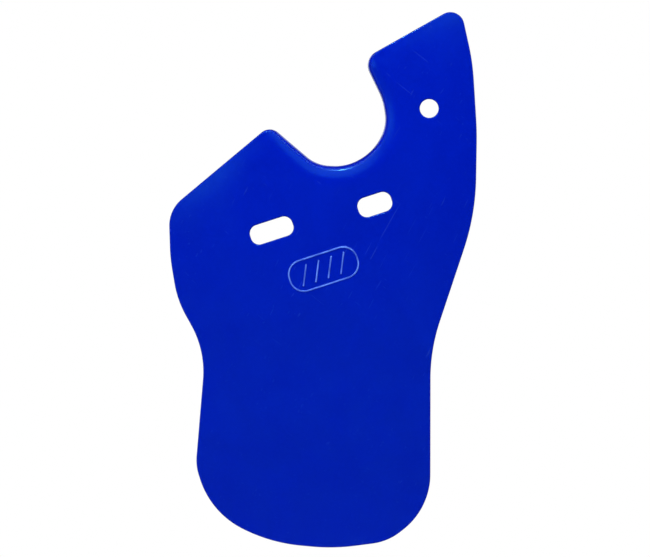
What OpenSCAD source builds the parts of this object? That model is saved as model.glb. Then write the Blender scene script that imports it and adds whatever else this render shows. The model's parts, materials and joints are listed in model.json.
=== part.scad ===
// Jaw guard for a batting helmet: one moulded plate that curves round the cheek and jaw,
// with a cut-out for the helmet's ear opening, one screw hole and two adjusting slots.
// X runs across the guard, Z up its length, and its outer face looks along -Y.
// The origin is on the axis of the screw hole, in the middle of the wall.

/* [Wall] */
// Thickness of the moulded wall
wall_t = 3.2; // [2.4:0.1:4.0]
// Radius of the outer face down the length of the guard
along_r = 290; // [240:10:400]
// Radius of the outer face across the guard
across_r = 180; // [160:5:230]
// Height at which the outer face stands upright
crown_z = -30; // [-45:1:-15]
// Place across the guard where the outer face is level
crown_x = -28; // [-45:1:-20]

/* [Screw hole and slots] */
// Diameter of the screw hole in the prong
screw_hole_d = 6.6; // [5.0:0.1:8.0]
// Width of both adjusting slots
slot_w = 7.0; // [6.5:0.1:8.0]
// Radius of the rounded corners of the slots
slot_corner_r = 3.0; // [1.5:0.1:3.1]
// Angle at which the slots and the mark rise to the rear
slot_tilt = 18; // [0:1:30]
// Length of the slot on the face side
front_slot_l = 15.6; // [12.0:0.1:18.0]
// Length of the slot under the ear opening
rear_slot_l = 12.3; // [10.0:0.1:15.0]

/* [Moulded mark] */
// Length of the raised oblong frame
mark_l = 26; // [20:1:28]
// Width of the raised oblong frame
mark_w = 12; // [8:1:14]
// Width of the raised lines
mark_line_w = 0.9; // [0.6:0.1:1.4]
// Height of the raised lines above the face
mark_raise = 0.35; // [0.2:0.05:0.6]
// Number of slanted bars inside the frame
mark_bars = 4; // [2:1:5]

/* [Hidden] */

// Corners of the outline, clockwise from the tip of the prong: [x, z, radius of the rounded corner]
OUTLINE = [
    [11.0, 37.0, 5],       // tip of the prong
    [15.5, 16.5, 80],      // rear edge
    [17.0, -8.0, 125],
    [16.5, -37.5, 85],
    [0.5, -85.5, 65],      // rear of the neck
    [0.5, -142.0, 25],     // rear corner of the jaw lobe
    [-14.5, -154.0, 20],
    [-34.0, -156.5, 70],   // bottom of the jaw lobe
    [-56.0, -154.5, 58],
    [-77.5, -144.0, 30],   // front corner of the jaw lobe
    [-83.0, -127.0, 17],
    [-79.5, -86.0, 34],    // front of the neck
    [-89.5, -68.0, 36],    // cheek bulge
    [-92.0, -53.0, 60],
    [-92.5, -36.0, 12],    // front corner
    [-56.5, -6.0, 4.5],    // shoulder beside the ear opening
    [-40.0, -20.0, 13],    // round the ear opening to the prong
    [-23.5, -21.0, 18],
    [-15.0, -6.5, 14],
    [-16.5, 3.0, 21],
    [-23.5, 17.5, 5.5]     // front corner of the prong
];
// Most that a straight chord cuts off a rounded corner
chord_error = 0.02;

// Middles of the slots and of the mark, as [x, z]
front_slot_at = [-55.9, -43.3];
rear_slot_at = [-19.3, -34.1];
mark_at = [-37.5, -57.0];
// Straight stretch at each end of the mark's frame, and the slant and pitch of its bars
mark_end_flat = 1;
bar_slant = 25;
bar_pitch = (mark_l - mark_w) / (mark_bars - 1);

// The curved sheet, before the outline is cut from it: its width, the depth that it takes up,
// and the angles that it turns through above and below the crown
sheet_w = 140;
sheet_depth = 40;
sheet_above = 16;
sheet_below = 30;
// Room over the outer face for what is raised on it
sheet_margin = 2;
// The block that trims it, as a corner and a size in [x, z], and the depth of every cut
trim_from = [-150, -200];
trim_size = [260, 300];
cut_depth = 140;
// Facets of a full turn of the sheet, and of the hole and the rounded corners, where they are meshed
sheet_facets = 360;
hole_facets = 96;

function leg(hypotenuse, other) = sqrt(hypotenuse * hypotenuse - other * other);
// From the sheet's axis to a face at the screw hole, for the face that lies this deep under the outer one
function reach_at_hole(under) =
    leg(along_r - across_r + leg(across_r - under, crown_x), crown_z);
// Puts the middle of the wall at the screw hole on Y = 0
axis_y = (reach_at_hole(0) + reach_at_hole(wall_t)) / 2;

function unit(v) = v / norm(v);
function turned(v, angle) =
    [v.x * cos(angle) - v.y * sin(angle), v.x * sin(angle) + v.y * cos(angle)];

// The points of one rounded corner, b, which comes after a and before c
function corner_arc(a, b, c) =
    let (
        corner = [b.x, b.y],
        to_a = unit([a.x, a.y] - corner),
        to_c = unit([c.x, c.y] - corner),
        half = acos(to_a * to_c) / 2,
        centre = corner + unit(to_a + to_c) * b.z / sin(half),
        first = corner + to_a * b.z / tan(half) - centre,
        turn = (180 - 2 * half) * sign(cross(to_c, to_a)),
        steps = ceil(abs(turn) / (2 * acos(1 - chord_error / b.z)))
    )
    [for (i = [0 : steps]) centre + turned(first, turn * i / steps)];

function rounded(corners) =
    let (n = len(corners))
    [for (i = [0 : n - 1])
        each corner_arc(corners[(i + n - 1) % n], corners[i], corners[(i + 1) % n])];

// Extrudes a shape drawn in X and Z through the whole guard
module through_wall() {
    rotate([90, 0, 0])
        linear_extrude(height = cut_depth, center = true)
            children();
}

// A layer of the curved sheet, from a depth under the outer face to a height over it
module curved_layer(under, over = 0) {
    translate([0, axis_y, crown_z])
        rotate([-90, 0, 0])
            rotate([0, 90, 0])
                rotate_extrude(angle = sheet_above + sheet_below, start = -sheet_above,
                               $fn = sheet_facets)
                    intersection() {
                        translate([along_r - across_r, crown_x])
                            difference() {
                                circle(r = across_r + over, $fn = sheet_facets);
                                circle(r = across_r - under, $fn = sheet_facets);
                            }
                        translate([along_r - sheet_depth, crown_x - sheet_w / 2])
                            square([sheet_depth + sheet_margin, sheet_w]);
                    }
}

// What is trimmed away round the outline
module waste() {
    difference() {
        translate(trim_from)
            square(trim_size);
        polygon(rounded(OUTLINE));
    }
}

// An oblong with rounded corners, tilted as the slots are
module oblong(at, length, width, corner_r) {
    x = length / 2 - corner_r;
    z = width / 2 - corner_r;
    translate(at)
        rotate(slot_tilt) {
            square([length, 2 * z], center = true);
            square([2 * x, width], center = true);
            for (i = [-1, 1], k = [-1, 1])
                translate([i * x, k * z])
                    circle(r = corner_r, $fn = hole_facets);
        }
}

// The plain moulded mark: an oblong frame with slanted bars inside
module mark_lines() {
    frame_r = (mark_w - mark_end_flat) / 2;
    inner_w = mark_w - 2 * mark_line_w;
    difference() {
        oblong(mark_at, mark_l, mark_w, frame_r);
        oblong(mark_at, mark_l - 2 * mark_line_w, inner_w, frame_r - mark_line_w);
    }
    for (i = [0 : mark_bars - 1])
        translate(mark_at)
            rotate(slot_tilt)
                translate([(i - (mark_bars - 1) / 2) * bar_pitch, 0])
                    rotate(-bar_slant)
                        square([mark_line_w, inner_w - 2 * mark_line_w], center = true);
}

module guard_shell() {
    color("#001cac")
        difference() {
            union() {
                difference() {
                    curved_layer(wall_t);
                    through_wall() waste();
                }
                intersection() {
                    curved_layer(wall_t / 2, mark_raise);
                    through_wall() mark_lines();
                }
            }
            rotate([90, 0, 0])
                cylinder(d = screw_hole_d, h = cut_depth, center = true, $fn = hole_facets);
            through_wall() oblong(front_slot_at, front_slot_l, slot_w, slot_corner_r);
            through_wall() oblong(rear_slot_at, rear_slot_l, slot_w, slot_corner_r);
        }
}

guard_shell();
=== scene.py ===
import json
import math
from collections import namedtuple

import bpy
import numpy as np
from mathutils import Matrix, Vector
from mathutils.geometry import delaunay_2d_cdt
from mathutils.kdtree import KDTree


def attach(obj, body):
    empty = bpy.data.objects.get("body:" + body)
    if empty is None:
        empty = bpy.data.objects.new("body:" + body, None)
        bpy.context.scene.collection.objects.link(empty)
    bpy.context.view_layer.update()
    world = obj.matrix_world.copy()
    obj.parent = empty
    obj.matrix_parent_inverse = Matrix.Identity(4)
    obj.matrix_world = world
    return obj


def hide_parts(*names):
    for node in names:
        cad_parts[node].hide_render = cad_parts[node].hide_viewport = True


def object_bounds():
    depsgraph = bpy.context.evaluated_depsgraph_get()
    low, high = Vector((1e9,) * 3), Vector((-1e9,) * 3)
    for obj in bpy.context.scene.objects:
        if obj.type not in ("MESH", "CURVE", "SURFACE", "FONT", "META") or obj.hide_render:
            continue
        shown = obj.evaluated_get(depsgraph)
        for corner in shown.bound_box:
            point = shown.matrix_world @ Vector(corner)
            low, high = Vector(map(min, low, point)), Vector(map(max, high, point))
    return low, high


# Jaw guard for a batting helmet: the moulded plate of the CAD part, built again as one mesh with
# rounded rims, an edge that leans back round the ear opening, and a fine moulded mark.
# Everything is in metres in the CAD part's frame: X across the guard, Z up, outer face along -Y.
# Drawings in the X and Z plane use complex numbers, x + z * 1j.

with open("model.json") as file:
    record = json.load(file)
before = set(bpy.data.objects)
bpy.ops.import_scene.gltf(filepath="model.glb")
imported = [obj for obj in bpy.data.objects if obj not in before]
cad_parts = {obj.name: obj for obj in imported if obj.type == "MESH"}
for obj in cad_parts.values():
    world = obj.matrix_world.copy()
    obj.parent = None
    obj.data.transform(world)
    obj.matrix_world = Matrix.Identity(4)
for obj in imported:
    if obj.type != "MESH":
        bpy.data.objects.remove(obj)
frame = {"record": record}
cad_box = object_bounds()
mounts = {mount["name"]: mount for mount in frame["record"]["mounts"]}
MM = 0.001


def on_drawing(vector):
    """A place or a direction in space as a number in the X and Z plane."""
    return vector[0] + vector[2] * 1j


# ---------------------------------------------------------------- sizes that the CAD part has too

# The curved wall: its thickness, the radii of its outer face, and the place where that face is level
WALL = 3.2 * MM
ALONG_R = 290 * MM
ACROSS_R = 180 * MM
CROWN_X = -28 * MM
CROWN_Z = -30 * MM

HOLE_R = mounts["prong_screw_hole"]["dims"]["r_mm"] * MM
SLOT_W = 7.0 * MM
SLOT_CORNER_R = 3.0 * MM
SLOT_TILT = np.angle(on_drawing(mounts["front_adjusting_slot"]["axis"]))
SLOT_LENGTHS = {"front_adjusting_slot": 15.6 * MM, "rear_adjusting_slot": 12.3 * MM}

MARK_AT = (-37.5 - 57.0j) * MM
MARK_L = 26 * MM
MARK_W = 12 * MM
MARK_END_FLAT = 1 * MM
MARK_CORNER_R = (MARK_W - MARK_END_FLAT) / 2
MARK_LINE_W = 0.9 * MM
MARK_RAISE = 0.35 * MM
MARK_BARS = 4
# Leaves a line's width clear between the bars and the frame, at both ends
MARK_BAR_L = MARK_W - 4 * MARK_LINE_W
MARK_BAR_SLANT = math.radians(25)

# Corners of the outline, clockwise from the tip of the prong: x, z and radius in millimetres
OUTLINE = [
    (11.0, 37.0, 5),  # tip of the prong
    (15.5, 16.5, 80),  # rear edge
    (17.0, -8.0, 125),
    (16.5, -37.5, 85),
    (0.5, -85.5, 65),  # rear of the neck
    (0.5, -142.0, 25),  # rear corner of the jaw lobe
    (-14.5, -154.0, 20),
    (-34.0, -156.5, 70),  # bottom of the jaw lobe
    (-56.0, -154.5, 58),
    (-77.5, -144.0, 30),  # front corner of the jaw lobe
    (-83.0, -127.0, 17),
    (-79.5, -86.0, 34),  # front of the neck
    (-89.5, -68.0, 36),  # cheek bulge
    (-92.0, -53.0, 60),
    (-92.5, -36.0, 12),  # front corner
    (-56.5, -6.0, 4.5),  # shoulder beside the ear opening
    (-40.0, -20.0, 13),  # round the ear opening to the prong
    (-23.5, -21.0, 18),
    (-15.0, -6.5, 14),
    (-16.5, 3.0, 21),
    (-23.5, 17.5, 5.5),  # front corner of the prong
]

# ---------------------------------------------------------------- sizes of the finer shape

# Radii of the rounded rims: round the ear opening and along the rest of the outline on the outer
# face, along the outline on the inner face, and at the hole and the slots on both
EAR_RIM_R = 2.0 * MM
FRONT_RIM_R = 0.5 * MM
BACK_RIM_R = 0.8 * MM
OPENING_RIM_R = 0.6 * MM

# The wall leans back towards the wearer near its edge, and most round the ear opening. The lean
# starts at its reach from the edge. What is special to the ear opening fades out over a range of
# distances from its centre.
LEAN_REACH = 4.7 * MM
LEAN_BLEND = 1.2 * MM
EDGE_LEAN = math.tan(math.radians(2.5))
EAR_LEAN = math.tan(math.radians(24))
EAR_CENTRE = (-32.0 - 3.0j) * MM
EAR_FADE = (19 * MM, 30 * MM)

# Round prints that the mould's ejector pins leave on the inner face
PIN_MARK_R = 3.0 * MM
PIN_MARK_DEPTH = 0.10 * MM
PIN_MARK_EDGE = 0.4 * MM
PIN_MARKS = [
    (1 + 18j) * MM,
    (-2 - 62j) * MM,
    (-76 - 55j) * MM,
    (-40 - 92j) * MM,
    (-66 - 128j) * MM,
    (-14 - 128j) * MM,
]

# ---------------------------------------------------------------- fineness of the mesh

RIM_STEPS = 7
EDGE_STEP = 0.9 * MM
FINE_EDGE_STEP = EDGE_STEP / 4
SLOT_STEP = 0.5 * MM
HOLE_POINTS = 64
CORNER_STEP = math.radians(7)
FRONT_GRID = 1.3 * MM
BACK_GRID = 2.0 * MM
# How far the grid's points keep away from the edges and from the inner lines, as shares of its step
EDGE_CLEARANCE = 0.6
INNER_CLEARANCE = 0.5
MARK_STEP = 0.4 * MM
# How far the inner lines lie from the middles of the mark's lines, as shares of a line's width
MARK_LEVELS = [0.06, 0.16, 0.27, 0.38, 0.5, 0.85]
CAP_ANGLES = np.radians(range(-90, 91, 30))
PIN_MARK_RINGS = 5
PIN_MARK_POINTS = 40
SLOPE_STEP = 0.02 * MM

# What the function that makes the triangles is told: to fill out to the convex hull, and how many
# millimetres apart two points are still one
FILL_TO_HULL = 0
SAME_POINT = 1e-6


# ---------------------------------------------------------------- closed lines in the X and Z plane

# The normals lie to the left of the way round. Every edge of the plate goes round with its left
# side away from the material: the outline clockwise, the hole and the slots anticlockwise.
Line = namedtuple("Line", "points normals", defaults=[None])


def rounded_corner(before, at, after, radius, step):
    """The arc that rounds one corner, from its first tangent point to its last, and its normals."""
    arriving = (at - before) / abs(at - before)
    leaving = (after - at) / abs(after - at)
    turn = np.angle(leaving / arriving)
    steps = math.ceil(max(abs(turn) / CORNER_STEP, abs(turn) * radius / step))
    normals = 1j * arriving * np.exp(1j * turn * np.linspace(0, 1, steps + 1))
    start = at - arriving * radius * math.tan(abs(turn) / 2)
    centre = start + 1j * arriving * radius * np.sign(turn)
    return centre - normals * radius * np.sign(turn), normals


def rounded_line(corners, step):
    """A closed line through (corner, radius) pairs, with points about a step apart."""
    count = len(corners)
    arcs = []
    for i, (at, radius) in enumerate(corners):
        before, after = corners[i - 1][0], corners[(i + 1) % count][0]
        arcs.append(rounded_corner(before, at, after, radius, step))
    points, normals = [], []
    for (arc, arc_normals), (next_arc, _) in zip(arcs, arcs[1:] + arcs[:1]):
        gap = next_arc[0] - arc[-1]
        pieces = max(1, round(abs(gap) / step))
        points += [arc, arc[-1] + gap * np.arange(1, pieces) / pieces]
        normals += [arc_normals, np.full(pieces - 1, arc_normals[-1])]
    return Line(np.concatenate(points), np.concatenate(normals))


def outline(step):
    """The outline of the plate, clockwise."""
    return rounded_line([((x + z * 1j) * MM, r * MM) for x, z, r in OUTLINE], step)


def oblong(middle, length, width, corner_r, step):
    """An anticlockwise oblong with rounded corners, tilted as the slots are."""
    half = (length + width * 1j) / 2
    corners = [-half, half.conjugate(), half, -half.conjugate()]
    tilt = np.exp(1j * SLOT_TILT)
    return rounded_line([(middle + c * tilt, corner_r) for c in corners], step)


def circle(middle, radius, count):
    """An anticlockwise circle."""
    radial = np.exp(2j * math.pi * np.arange(count) / count)
    return Line(middle + radial * radius, -radial)


def moved(line, distance):
    """The line moved to its right, which is into the material from an edge. The distance is one
    number, or one for each point."""
    return Line(line.points - line.normals * distance, line.normals)


# ---------------------------------------------------------------- the edges of the plate

# A closed line, with the radii of its rims on the outer and on the inner face
Edge = namedtuple("Edge", "line front_r back_r")


def fade(value, start, end):
    """1 up to start, 0 from end, and smooth between them."""
    t = np.clip((value - start) / (end - start), 0, 1)
    return 1 - t * t * (3 - 2 * t)


def near_ear(p):
    """1 round the ear opening, and 0 away from it."""
    return fade(abs(p - EAR_CENTRE), *EAR_FADE)


def plate_edges():
    """The outline, the hole and the slots, in this order."""
    around = outline(EDGE_STEP)
    around_r = FRONT_RIM_R + (EAR_RIM_R - FRONT_RIM_R) * near_ear(around.points)
    openings = [circle(0, HOLE_R, HOLE_POINTS)]
    for name, length in SLOT_LENGTHS.items():
        middle = on_drawing(mounts[name]["pos_m"])
        openings.append(oblong(middle, length, SLOT_W, SLOT_CORNER_R, SLOT_STEP))
    return [Edge(around, around_r, BACK_RIM_R)] + [Edge(o, OPENING_RIM_R, OPENING_RIM_R) for o in openings]


EDGES = plate_edges()


def finder(points):
    """A function that gives the number of the nearest of these points, and how far off it is."""
    tree = KDTree(len(points))
    for i, q in enumerate(points):
        tree.insert((q.real, q.imag, 0), i)
    tree.balance()
    return lambda q: tree.find((q.real, q.imag, 0))[1:]


FINE_OUTLINE = outline(FINE_EDGE_STEP)
find_on_outline = finder(FINE_OUTLINE.points)


def inside_outline(p):
    """How far points lie inside the outline."""
    nearest = [find_on_outline(q)[0] for q in p]
    away = FINE_OUTLINE.points[nearest] - p
    return (away * FINE_OUTLINE.normals[nearest].conj()).real


# ---------------------------------------------------------------- the two faces, as depths along Y

def leg(hypotenuse, other):
    return np.sqrt(hypotenuse**2 - other**2)


def reach(under, p):
    """From the axis of the curved sheet to its face that lies this deep under the outer one."""
    across = leg(ACROSS_R - under, p.real - CROWN_X)
    return leg(ALONG_R - ACROSS_R + across, p.imag - CROWN_Z)


# Puts the middle of the wall at the screw hole on Y = 0
AXIS_Y = (reach(0, 0j) + reach(WALL, 0j)) / 2


def lean_back(p):
    """How far the wall has leaned back towards the wearer: a steady slope near the edge, which
    blends into the face where the reach ends."""
    lean = EDGE_LEAN + (EAR_LEAN - EDGE_LEAN) * near_ear(p)
    past = (LEAN_REACH - inside_outline(p)) / LEAN_BLEND
    return lean * LEAN_BLEND * np.logaddexp(0, past)


def to_segment(p, start, end):
    """How far points are from a straight line between two ends."""
    along = np.clip(((p - start) / (end - start)).real, 0, 1)
    return abs(p - start - along * (end - start))


def mark_bars():
    """The two ends of each slanted bar's middle line, which stops short by the bar's round ends."""
    pitch = (MARK_L - MARK_W) / (MARK_BARS - 1)
    half = (MARK_BAR_L - MARK_LINE_W) / 2 * 1j * np.exp(-1j * MARK_BAR_SLANT)
    tilt = np.exp(1j * SLOT_TILT)
    middles = [(i - (MARK_BARS - 1) / 2) * pitch for i in range(MARK_BARS)]
    return [(MARK_AT + (m - half) * tilt, MARK_AT + (m + half) * tilt) for m in middles]


def mark_height(p):
    """Height of the mark's rounded lines above the outer face."""
    local = (p - MARK_AT) * np.exp(-1j * SLOT_TILT)
    r = MARK_CORNER_R - MARK_LINE_W / 2
    past_x = abs(local.real) - ((MARK_L - MARK_LINE_W) / 2 - r)
    past_z = abs(local.imag) - ((MARK_W - MARK_LINE_W) / 2 - r)
    round_corner = abs(np.maximum(past_x, 0) + np.maximum(past_z, 0) * 1j)
    straight = np.minimum(np.maximum(past_x, past_z), 0)
    away = abs(round_corner + straight - r)
    for start, end in mark_bars():
        away = np.minimum(away, to_segment(p, start, end))
    return MARK_RAISE * fade(away, 0, MARK_LINE_W / 2)


def pin_mark_depth(p):
    """Depth of the ejector pins' prints in the inner face."""
    away = np.min([abs(p - middle) for middle in PIN_MARKS], axis=0)
    return PIN_MARK_DEPTH * fade(away, PIN_MARK_R - PIN_MARK_EDGE, PIN_MARK_R)


def front_y(p):
    return AXIS_Y - reach(0, p) + lean_back(p) - mark_height(p)


def back_y(p):
    return AXIS_Y - reach(WALL, p) + lean_back(p) - pin_mark_depth(p)


def slope(face, p):
    """Slopes of a face along X and Z, as one complex number."""
    along_x = face(p + SLOPE_STEP) - face(p - SLOPE_STEP)
    along_z = face(p + SLOPE_STEP * 1j) - face(p - SLOPE_STEP * 1j)
    return (along_x + along_z * 1j) / (2 * SLOPE_STEP)


# ---------------------------------------------------------------- inner lines that the mesh follows

def line_round(start, end, distance):
    """A closed line that keeps a distance from a straight one."""
    along = (end - start) / abs(end - start)
    cap = along * np.exp(1j * CAP_ANGLES) * distance
    pieces = math.ceil(abs(end - start) / MARK_STEP)
    side = (end - start) * np.arange(1, pieces) / pieces
    across = 1j * along * distance
    return Line(np.concatenate([end + cap, end + across - side, start - cap, start - across + side]))


def mark_lines():
    """Lines at several heights of the mark's relief."""
    middle = oblong(MARK_AT, MARK_L - MARK_LINE_W, MARK_W - MARK_LINE_W,
                    MARK_CORNER_R - MARK_LINE_W / 2, MARK_STEP)
    lines = [middle]
    for share in MARK_LEVELS:
        distance = share * MARK_LINE_W
        lines += [moved(middle, -distance), moved(middle, distance)]
        lines += [line_round(start, end, distance) for start, end in mark_bars()]
    return lines


def pin_lines():
    """Rings down the edges of the pin prints."""
    radii = PIN_MARK_R - PIN_MARK_EDGE * np.linspace(0, 1, PIN_MARK_RINGS)
    return [circle(middle, radius, PIN_MARK_POINTS) for middle in PIN_MARKS for radius in radii]


# ---------------------------------------------------------------- the mesh

class Builder:
    """Collects places, normals and faces, and gives them to Blender as one mesh."""

    def __init__(self):
        self.places, self.normals, self.faces = [], [], []
        self.rims, self.marks = [], []
        self.count = 0

    def add(self, places, normals, rim=0.0, mark=0.0):
        """Adds points, and gives their numbers. Rim and mark say how much they belong to those."""
        first = self.count
        self.places.append(places)
        self.normals.append(normals)
        self.rims.append(np.broadcast_to(rim, len(places)))
        self.marks.append(np.broadcast_to(mark, len(places)))
        self.count += len(places)
        return np.arange(first, self.count)

    def add_rings(self, rings):
        """Joins closed rings of equally many points by four-sided faces, and gives their numbers."""
        numbers = [self.add(*ring) for ring in rings]
        for a, b in zip(numbers, numbers[1:]):
            self.faces += np.column_stack([a, np.roll(a, -1), np.roll(b, -1), b]).tolist()
        return numbers

    def object(self, name):
        """A Blender object with the mesh, whose points carry their rim and mark values."""
        mesh = bpy.data.meshes.new(name)
        mesh.from_pydata(np.concatenate(self.places).tolist(), [], self.faces)
        mesh.shade_smooth()
        mesh.normals_split_custom_set_from_vertices(np.concatenate(self.normals).tolist())
        for title, values in (("rim", self.rims), ("mark", self.marks)):
            mesh.attributes.new(title, "FLOAT", "POINT").data.foreach_set("value", np.concatenate(values))
        made = bpy.data.objects.new(name, mesh)
        bpy.context.scene.collection.objects.link(made)
        return made


def in_space(p, y):
    return np.column_stack([p.real, y, p.imag])


def unit_rows(vectors):
    return vectors / np.linalg.norm(vectors, axis=1)[:, None]


def rim_ring(line, face, side, radius, angle):
    """Places, normals and rim value of one ring of a rounded rim. The angle goes from the face to
    the wall, and side is -1 on the outer face and 1 on the inner one."""
    sin, cos = math.sin(angle), math.cos(angle)
    p = line.points - line.normals * radius * (1 - sin)
    y = face(p) - side * radius * (1 - cos)
    tilt = sin * line.normals - side * cos * slope(face, p)
    return in_space(p, y), unit_rows(in_space(tilt, np.full(len(p), side * cos))), sin * sin


def rim_rings(edge):
    """All rings round one edge, from the outer face to the inner one."""
    angles = [math.pi / 2 * i / RIM_STEPS for i in range(RIM_STEPS + 1)]
    front = [rim_ring(edge.line, front_y, -1, edge.front_r, a) for a in angles]
    back = [rim_ring(edge.line, back_y, 1, edge.back_r, a) for a in reversed(angles)]
    return front + back


def grid(step):
    """Points in a triangular pattern over the whole outline."""
    points = EDGES[0].line.points
    row_height = step * math.sqrt(3) / 2
    rows = np.arange(points.imag.min(), points.imag.max(), row_height)
    columns = np.arange(points.real.min(), points.real.max(), step)
    return np.concatenate([columns + step / 2 * (i % 2) + z * 1j for i, z in enumerate(rows)])


def inside(p, line):
    """Whether points are inside a closed line, from how often the line passes to their right."""
    a, b = line.points, np.roll(line.points, -1)
    z = p.imag[:, None]
    passes = (a.imag > z) != (b.imag > z)
    rise = np.where(a.imag == b.imag, 1, b.imag - a.imag)
    at = a.real + (z - a.imag) / rise * (b.real - a.real)
    return np.count_nonzero(passes & (at > p.real[:, None]), axis=1) % 2 == 1


def in_material(p, lines):
    """Whether points are inside the first line and outside all the others."""
    return inside(p, lines[0]) & ~np.any([inside(p, hole) for hole in lines[1:]], axis=0)


def clear_of(p, lines, distance):
    """The points that keep a distance from every point of the lines."""
    find = finder(np.concatenate([line.points for line in lines]))
    return p[[find(q)[1] > distance for q in p]]


def filled(borders, inner_lines, step):
    """Points and triangles that fill a face. The borders' own points come first, in their order."""
    spread = clear_of(grid(step), borders, step * EDGE_CLEARANCE)
    spread = clear_of(spread, inner_lines, step * INNER_CLEARANCE)
    spread = spread[in_material(spread, borders)]
    points, links, first = [], [], 0
    for line in borders + inner_lines:
        count = len(line.points)
        points.append(line.points)
        links += [(first + i, first + (i + 1) % count) for i in range(count)]
        first += count
    flat = [Vector((q.real, q.imag)) for q in np.concatenate(points + [spread]) / MM]
    made = delaunay_2d_cdt(flat, links, [], FILL_TO_HULL, SAME_POINT, False)
    places = np.array([complex(*v) for v in made[0]]) * MM
    triangles = np.array(made[2])
    a, b, c = places[triangles].T
    # The triangles are made in single precision, so the borders are rounded alike to pick them
    ends = np.cumsum([len(line.points) for line in borders])
    rounded = [Line(part) for part in np.split(places[:ends[-1]], ends[:-1])]
    return places, triangles[in_material((a + b + c) / 3, rounded)]


def add_face(builder, face, side, borders, inner_lines, step, rings):
    """Fills one face of the plate between the borders, where the rings of its rims already are."""
    places, triangles = filled(borders, inner_lines, step)
    taken = sum(len(line.points) for line in borders)
    p = places[taken:]
    normals = unit_rows(in_space(-side * slope(face, p), np.full(len(p), side)))
    mark = mark_height(p) / MARK_RAISE * (side < 0)
    numbers = np.concatenate(rings + [builder.add(in_space(p, face(p)), normals, mark=mark)])
    a, b, c = places[triangles].T
    turns_left = ((b - a).conj() * (c - a)).imag > 0
    wrong = turns_left != (side < 0)
    triangles[wrong] = triangles[wrong][:, ::-1]
    builder.faces += numbers[triangles].tolist()


def guard_body():
    """The whole guard as one closed mesh."""
    builder = Builder()
    rims = [builder.add_rings(rim_rings(edge)) for edge in EDGES]
    outer = [moved(edge.line, edge.front_r) for edge in EDGES]
    inner = [moved(edge.line, edge.back_r) for edge in EDGES]
    add_face(builder, front_y, -1, outer, mark_lines(), FRONT_GRID, [rim[0] for rim in rims])
    add_face(builder, back_y, 1, inner, pin_lines(), BACK_GRID, [rim[-1] for rim in rims])
    return builder.object("guard_body")


# ---------------------------------------------------------------- nodes of materials and the world

# Numbers of the Mix node's sockets for colours
COLOUR_A = 6
COLOUR_B = 7
COLOUR_RESULT = 2


class Nodes:
    """Adds nodes to a material or a world, with their values and links in one call."""

    def __init__(self, owner):
        owner.use_nodes = True
        self.tree = owner.node_tree
        self.tree.nodes.clear()

    def add(self, kind, inputs=(), **settings):
        """Adds a node. Each input is a value, or the socket of another node to link it to."""
        made = self.tree.nodes.new(kind)
        for name, value in settings.items():
            setattr(made, name, value)
        for name, value in dict(inputs).items():
            if isinstance(value, bpy.types.NodeSocket):
                self.tree.links.new(value, made.inputs[name])
            else:
                made.inputs[name].default_value = value
        return made

    def noise(self, place, scale, detail=2.0, distortion=0.0):
        inputs = {"Vector": place, "Scale": scale, "Detail": detail, "Distortion": distortion}
        return self.add("ShaderNodeTexNoise", inputs).outputs["Fac"]

    def ranged(self, value, low, high, to_low=0.0, to_high=1.0):
        """Takes the values from low to high smoothly to another range, and clamps the rest."""
        inputs = {"Value": value, "From Min": low, "From Max": high, "To Min": to_low, "To Max": to_high}
        made = self.add("ShaderNodeMapRange", inputs, interpolation_type="SMOOTHSTEP")
        return made.outputs["Result"]

    def math(self, operation, a, b):
        made = self.add("ShaderNodeMath", {0: a, 1: b}, operation=operation)
        return made.outputs["Value"]

    def mixed(self, share, a, b):
        """A mix of two colours, from a at share 0 to b at share 1."""
        inputs = {"Factor": share, COLOUR_A: a, COLOUR_B: b}
        return self.add("ShaderNodeMix", inputs, data_type="RGBA").outputs[COLOUR_RESULT]


# ---------------------------------------------------------------- the plastic

BLUE = (0.0, 0.0085, 0.413, 1.0)
DEEP_BLUE = (0.0, 0.0070, 0.370, 1.0)
# Painted shade: the deep navy that the rounded rims darken to
RIM_SHADE_BLUE = (0.0, 0.0040, 0.200, 1.0)
# Pale blue of the wear, and of the painted highlight on the mark's lines
PALE_BLUE = (0.120, 0.250, 0.850, 1.0)
SHEEN_BLUE = (0.06, 0.50, 1.0, 1.0)

# How much of the pale blue shows at its most in the hairlines and on the rubbed rims
HAIRLINE_SHARE = 0.05
RUB_SHARE = 0.04
# How far the noise rises from the edge of a hairline to its middle
HAIRLINE_RISE = 0.04
# How much of the tone comes from the flow marks, while the rest comes from the speckle
FLOW_SHARE = 0.6
# How much rougher the plastic is where it is fully worn or frosted
WORN_ROUGHNESS = 0.25


def scratches(nodes, place, angle, length, width, rarity):
    """Hairlines in one direction: noise that is stretched far along it, where it peaks."""
    inputs = {"Vector": place, "Rotation": (0, angle, 0), "Scale": (width, width, length)}
    stretched = nodes.add("ShaderNodeMapping", inputs, vector_type="TEXTURE").outputs["Vector"]
    noise = nodes.noise(stretched, scale=1.0, detail=1.0)
    return nodes.ranged(noise, low=rarity, high=rarity + HAIRLINE_RISE)


def wear(nodes, place, rim):
    """Hairline scratches and rubbed rims, as a share of pale blue."""
    one_way = scratches(nodes, place, angle=0.5, length=33 * MM, width=0.7 * MM, rarity=0.72)
    other_way = scratches(nodes, place, angle=-0.9, length=22 * MM, width=0.6 * MM, rarity=0.74)
    hairlines = nodes.math("MAXIMUM", one_way, other_way)
    patches = nodes.ranged(nodes.noise(place, scale=260.0, detail=4.0), low=0.5, high=0.75)
    rubbed = nodes.math("MULTIPLY", rim, patches)
    return nodes.math("MAXIMUM", nodes.math("MULTIPLY", hairlines, HAIRLINE_SHARE),
                      nodes.math("MULTIPLY", rubbed, RUB_SHARE))


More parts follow.
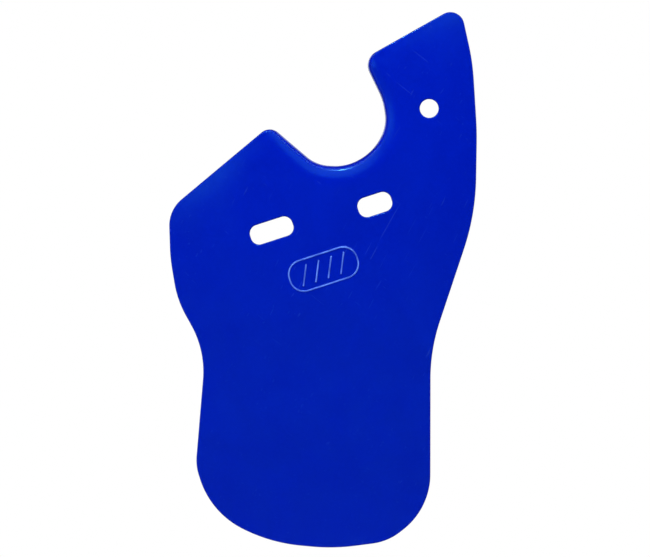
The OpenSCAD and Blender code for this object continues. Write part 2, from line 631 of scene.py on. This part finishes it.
def mark_highlight_and_frost(nodes, place, mark):
    """A painted highlight along the mark's frosted lines: an uneven share of pale blue."""
    strength = nodes.noise(place, scale=180.0, detail=3.0)
    strength = nodes.ranged(strength, low=0.35, high=0.62, to_low=0.45, to_high=1.0)
    return nodes.math("MULTIPLY", nodes.ranged(mark, low=0.15, high=0.8), strength)


def moulded_tone(nodes, place):
    """Soft flow marks with a little fine speckle, from 0 to 1."""
    flow = nodes.ranged(nodes.noise(place, scale=55.0, detail=4.0, distortion=0.8), low=0.3, high=0.7)
    speck = nodes.ranged(nodes.noise(place, scale=900.0, detail=3.0), low=0.35, high=0.65)
    return nodes.math("ADD", nodes.math("MULTIPLY", flow, FLOW_SHARE),
                      nodes.math("MULTIPLY", speck, 1 - FLOW_SHARE))


def fine_relief(nodes, place):
    """The normals of a fine grain with a soft waviness over it."""
    grain = nodes.add("ShaderNodeBump", {
        "Height": nodes.noise(place, scale=1500.0),
        "Strength": 0.25,
        "Distance": 0.03 * MM,
    })
    peel = nodes.add("ShaderNodeBump", {
        "Height": nodes.noise(place, scale=300.0, detail=1.0),
        "Strength": 0.3,
        "Distance": 0.05 * MM,
        "Normal": grain.outputs["Normal"],
    })
    return peel.outputs["Normal"]


def moulded_blue():
    """Satin moulded plastic: a clear deep blue with painted shade that darkens the rims, faint flow marks
    and wear, and a frosted mark whose lines also carry a painted highlight in pale blue."""
    material = bpy.data.materials.new("moulded_blue")
    nodes = Nodes(material)
    place = nodes.add("ShaderNodeTexCoord").outputs["Object"]
    rim = nodes.add("ShaderNodeAttribute", attribute_name="rim").outputs["Fac"]
    mark = nodes.add("ShaderNodeAttribute", attribute_name="mark").outputs["Fac"]

    # The pale blue is real wear in the hairlines and on the rubbed rims, and a painted highlight on the
    # mark's lines; both also make the plastic rougher
    wear_and_mark_highlight = nodes.math("MAXIMUM", wear(nodes, place, rim), mark_highlight_and_frost(nodes, place, mark))
    face_blue = nodes.mixed(moulded_tone(nodes, place), DEEP_BLUE, BLUE)
    # Painted shade: the base colour darkens towards a deep navy on the rounded rims
    moulded_and_rim_shade = nodes.mixed(nodes.ranged(rim, low=0.2, high=1.0), face_blue, RIM_SHADE_BLUE)
    satin = nodes.noise(place, scale=140.0, detail=3.0)
    satin = nodes.ranged(satin, low=0.3, high=0.7, to_low=0.20, to_high=0.26)
    shader = nodes.add("ShaderNodeBsdfPrincipled", {
        "Base Color": nodes.mixed(wear_and_mark_highlight, moulded_and_rim_shade, PALE_BLUE),
        "Roughness": nodes.math("ADD", satin, nodes.math("MULTIPLY", wear_and_mark_highlight, WORN_ROUGHNESS)),
        "Normal": fine_relief(nodes, place),
        "IOR": 1.5,
        "Specular IOR Level": 0.4,
        "Specular Tint": SHEEN_BLUE,
    })
    nodes.add("ShaderNodeOutputMaterial", {"Surface": shader.outputs["BSDF"]})
    return material


# ---------------------------------------------------------------- studio

FLOOR_R = 1.2
FLOOR_POINTS = 96
FLOOR_DROP = 35 * MM
FLOOR_GREY = (0.64, 0.64, 0.65, 1.0)
FLOOR_PALE = (0.68, 0.68, 0.69, 1.0)

# A soft light: bearing and elevation in degrees, distance, width and height in metres, watts, and
# whether it makes highlights. The bearing is from the front round to the right.
SoftBox = namedtuple("SoftBox", "name bearing elevation distance width height watts highlights")
SOFT_BOXES = [
    SoftBox("fill", 3, 3, 2.5, 1.6, 0.5, 14.9, False),
    SoftBox("overhead", -5, 80, 0.8, 1.8, 0.08, 3.7, True),
    SoftBox("spot", -17, 64, 0.7, 0.06, 0.05, 2.1, True),
    SoftBox("key", -12, 50, 0.9, 1.5, 0.45, 3.5, True),
    SoftBox("right", 70, 5, 0.9, 0.3, 0.9, 1.0, True),
    SoftBox("left", -70, 5, 0.9, 0.3, 0.9, 0.9, True),
    SoftBox("notch_side", -42, 15, 0.9, 0.35, 0.35, 0.75, True),
    SoftBox("back_right", 150, 25, 1.0, 1.4, 1.0, 9.0, True),
    SoftBox("back_left", -140, 5, 1.0, 0.6, 0.9, 5.0, True),
]
AMBIENT = 0.07

# The camera's distance, the shape of its picture, the picture's height as a share of the object's,
# and the middle of the picture as seen from the middle of the object
CAMERA_DISTANCE = 8.0
PICTURE_SHAPE = 650 / 557
PICTURE_PER_OBJECT = 1.0397
PICTURE_OFFSET = Vector((0.72, 0, 0.54)) * MM


def pale_floor_paint():
    """Matt paint that shines a little by itself, so that the floor stays pale far from the lights."""
    material = bpy.data.materials.new("pale_floor_paint")
    nodes = Nodes(material)
    place = nodes.add("ShaderNodeTexCoord").outputs["Object"]
    colour = nodes.mixed(nodes.noise(place, scale=30.0, detail=4.0), FLOOR_GREY, FLOOR_PALE)
    shader = nodes.add("ShaderNodeBsdfPrincipled", {
        "Base Color": colour,
        "Roughness": 0.8,
        "Emission Color": colour,
        "Emission Strength": 0.3,
    })
    nodes.add("ShaderNodeOutputMaterial", {"Surface": shader.outputs["BSDF"]})
    return material


def floor(level):
    """A round pale floor, low enough to stay under the main picture."""
    rim = circle(0, FLOOR_R, FLOOR_POINTS).points
    mesh = bpy.data.meshes.new("floor")
    mesh.from_pydata([(q.real, q.imag, level) for q in rim], [], [list(range(FLOOR_POINTS))])
    mesh.materials.append(pale_floor_paint())
    made = bpy.data.objects.new("floor", mesh)
    made.visible_glossy = False
    bpy.context.scene.collection.objects.link(made)


def soft_box(box, target):
    """A soft light that faces the target."""
    bearing, elevation = math.radians(box.bearing), math.radians(box.elevation)
    level = math.cos(elevation)
    away = Vector((math.sin(bearing) * level, -math.cos(bearing) * level, math.sin(elevation)))
    data = bpy.data.lights.new(box.name, "AREA")
    data.shape = "RECTANGLE"
    data.size = box.width
    data.size_y = box.height
    data.energy = box.watts
    made = bpy.data.objects.new(box.name, data)
    made.location = target + away * box.distance
    made.rotation_euler = (-away).to_track_quat("-Z", "Y").to_euler()
    made.visible_camera = False
    made.visible_glossy = box.highlights
    bpy.context.scene.collection.objects.link(made)


def backdrop(ambient):
    """White where the camera looks past the object, and a dimmer even light on the object."""
    world = bpy.data.worlds.new("studio")
    bpy.context.scene.world = world
    nodes = Nodes(world)
    seen = nodes.add("ShaderNodeLightPath").outputs["Is Camera Ray"]
    strength = nodes.ranged(seen, low=0.0, high=1.0, to_low=ambient, to_high=1.0)
    light = nodes.add("ShaderNodeBackground", {"Color": (1, 1, 1, 1), "Strength": strength})
    nodes.add("ShaderNodeOutputWorld", {"Surface": light.outputs["Background"]})


def long_lens_camera(middle, height):
    """Looks straight along +Y from far off, at the middle and height of the picture."""
    data = bpy.data.cameras.new("camera")
    data.lens = data.sensor_width * CAMERA_DISTANCE / (height * PICTURE_SHAPE)
    data.clip_end = 10 * CAMERA_DISTANCE
    made = bpy.data.objects.new("camera", data)
    made.location = middle - Vector((0, CAMERA_DISTANCE, 0))
    made.rotation_euler = (math.pi / 2, 0, 0)
    bpy.context.scene.collection.objects.link(made)
    bpy.context.scene.camera = made


# ---------------------------------------------------------------- the scene

low, high = cad_box
centre = (low + high) / 2
tall = (high - low).z

body = guard_body()
body.data.materials.append(moulded_blue())
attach(body, "root")
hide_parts("guard_shell")

long_lens_camera(centre + PICTURE_OFFSET, tall * PICTURE_PER_OBJECT)
floor(low.z - FLOOR_DROP)
backdrop(AMBIENT)
for box in SOFT_BOXES:
    soft_box(box, centre)
bpy.context.scene.view_settings.view_transform = "Standard"
